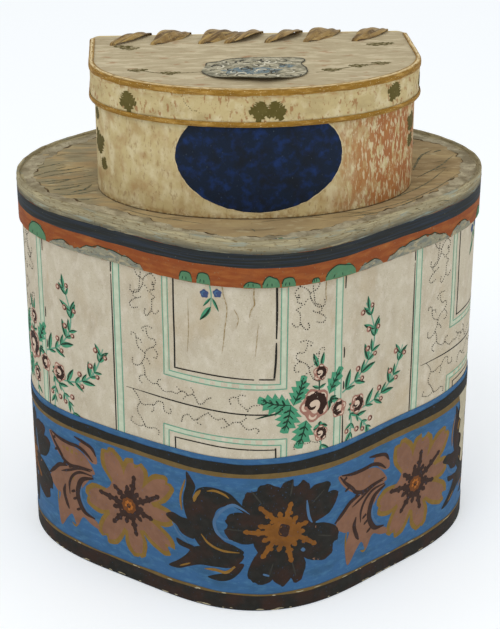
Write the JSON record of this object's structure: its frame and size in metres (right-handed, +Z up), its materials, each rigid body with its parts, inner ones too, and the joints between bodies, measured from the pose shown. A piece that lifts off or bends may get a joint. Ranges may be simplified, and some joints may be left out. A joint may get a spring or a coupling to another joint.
{
  "type": "hat box",
  "caption": "Papered pasteboard hat box with a lift-off lid, and a small D-shaped box with a ribbon-laced hinged lid standing on it.",
  "frame": {"origin": "centre of the large box's footprint, on the surface that it stands on", "axes": "+Z up, -Y towards the rounded front of the small box, +X to the right seen from the front"},
  "size_m": [0.42, 0.379, 0.4662],
  "materials": {
    "pasteboard": "grey-brown layered pasteboard, matt, worn soft at its edges",
    "printed_wallpaper": "cream-grey flecked paper block-printed in green, black and rose, matt, stained and cracked",
    "blue_border_paper": "blue distemper border paper with dusty mauve and dark brown flowers, matt, worn at its lower edge",
    "lining_paper": "plain aged lining paper, matt",
    "aged_top_paper": "tan-brown aged paper with dark streaks, matt, rubbed at the lip",
    "striped_rim_paper": "black and rust-orange striped paper with green leaf marks, matt, torn at its lower edge",
    "cream_paper": "cream paper worn to rust-orange, with olive sprigs, matt",
    "dark_blue_paper": "dark blue glazed scrap with a rubbed edge",
    "streaked_lid_paper": "tan-grey streaked paper, matt",
    "ochre_binding": "ochre paper binding, rubbed to cream along its edge",
    "printed_scrap": "grey-blue printed scrap, matt, lifting at its front edge",
    "silk_ribbon": "tan-brown silk ribbon, soft sheen, frayed"
  },
  "bodies": {
    "large_box": {"large_wall": "pasteboard", "large_bottom": "pasteboard", "large_wall_paper": "printed_wallpaper", "large_border_paper": "blue_border_paper", "large_lining": "lining_paper"},
    "large_lid": {"large_lid_rim": "pasteboard", "large_lid_board": "pasteboard", "large_lid_paper": "aged_top_paper", "large_lid_rim_paper": "striped_rim_paper", "large_lid_lining": "lining_paper"},
    "small_box": {"small_wall": "pasteboard", "small_bottom": "pasteboard", "small_wall_paper": "cream_paper", "small_lining": "lining_paper", "small_front_oval": "dark_blue_paper", "hinge_ribbon": "silk_ribbon"},
    "small_lid": {"small_lid_board": "pasteboard", "small_lid_paper": "streaked_lid_paper", "small_lid_lining": "lining_paper", "small_lid_rim": "pasteboard", "small_lid_rim_paper": "cream_paper", "small_lid_top_binding": "ochre_binding", "small_lid_low_binding": "ochre_binding", "small_lid_cartouche": "printed_scrap"}
  },
  "joints": [
    {"name": "large_lid_lift", "type": "slide", "parent": "large_box", "child": "large_lid", "axis": [0, 0, 1], "range_m": [0, 0.08]},
    {"name": "small_box_lift", "type": "slide", "parent": "large_lid", "child": "small_box", "axis": [0, 0, 1], "range_m": [0, 0.05]},
    {"name": "small_lid_hinge", "type": "hinge", "parent": "small_box", "child": "small_lid", "pos_m": [0.0018, 0.0426, 0.46055], "axis": [-1, 0, 0], "range_deg": [0, 105], "deforming": ["hinge_ribbon"]}
  ]
}
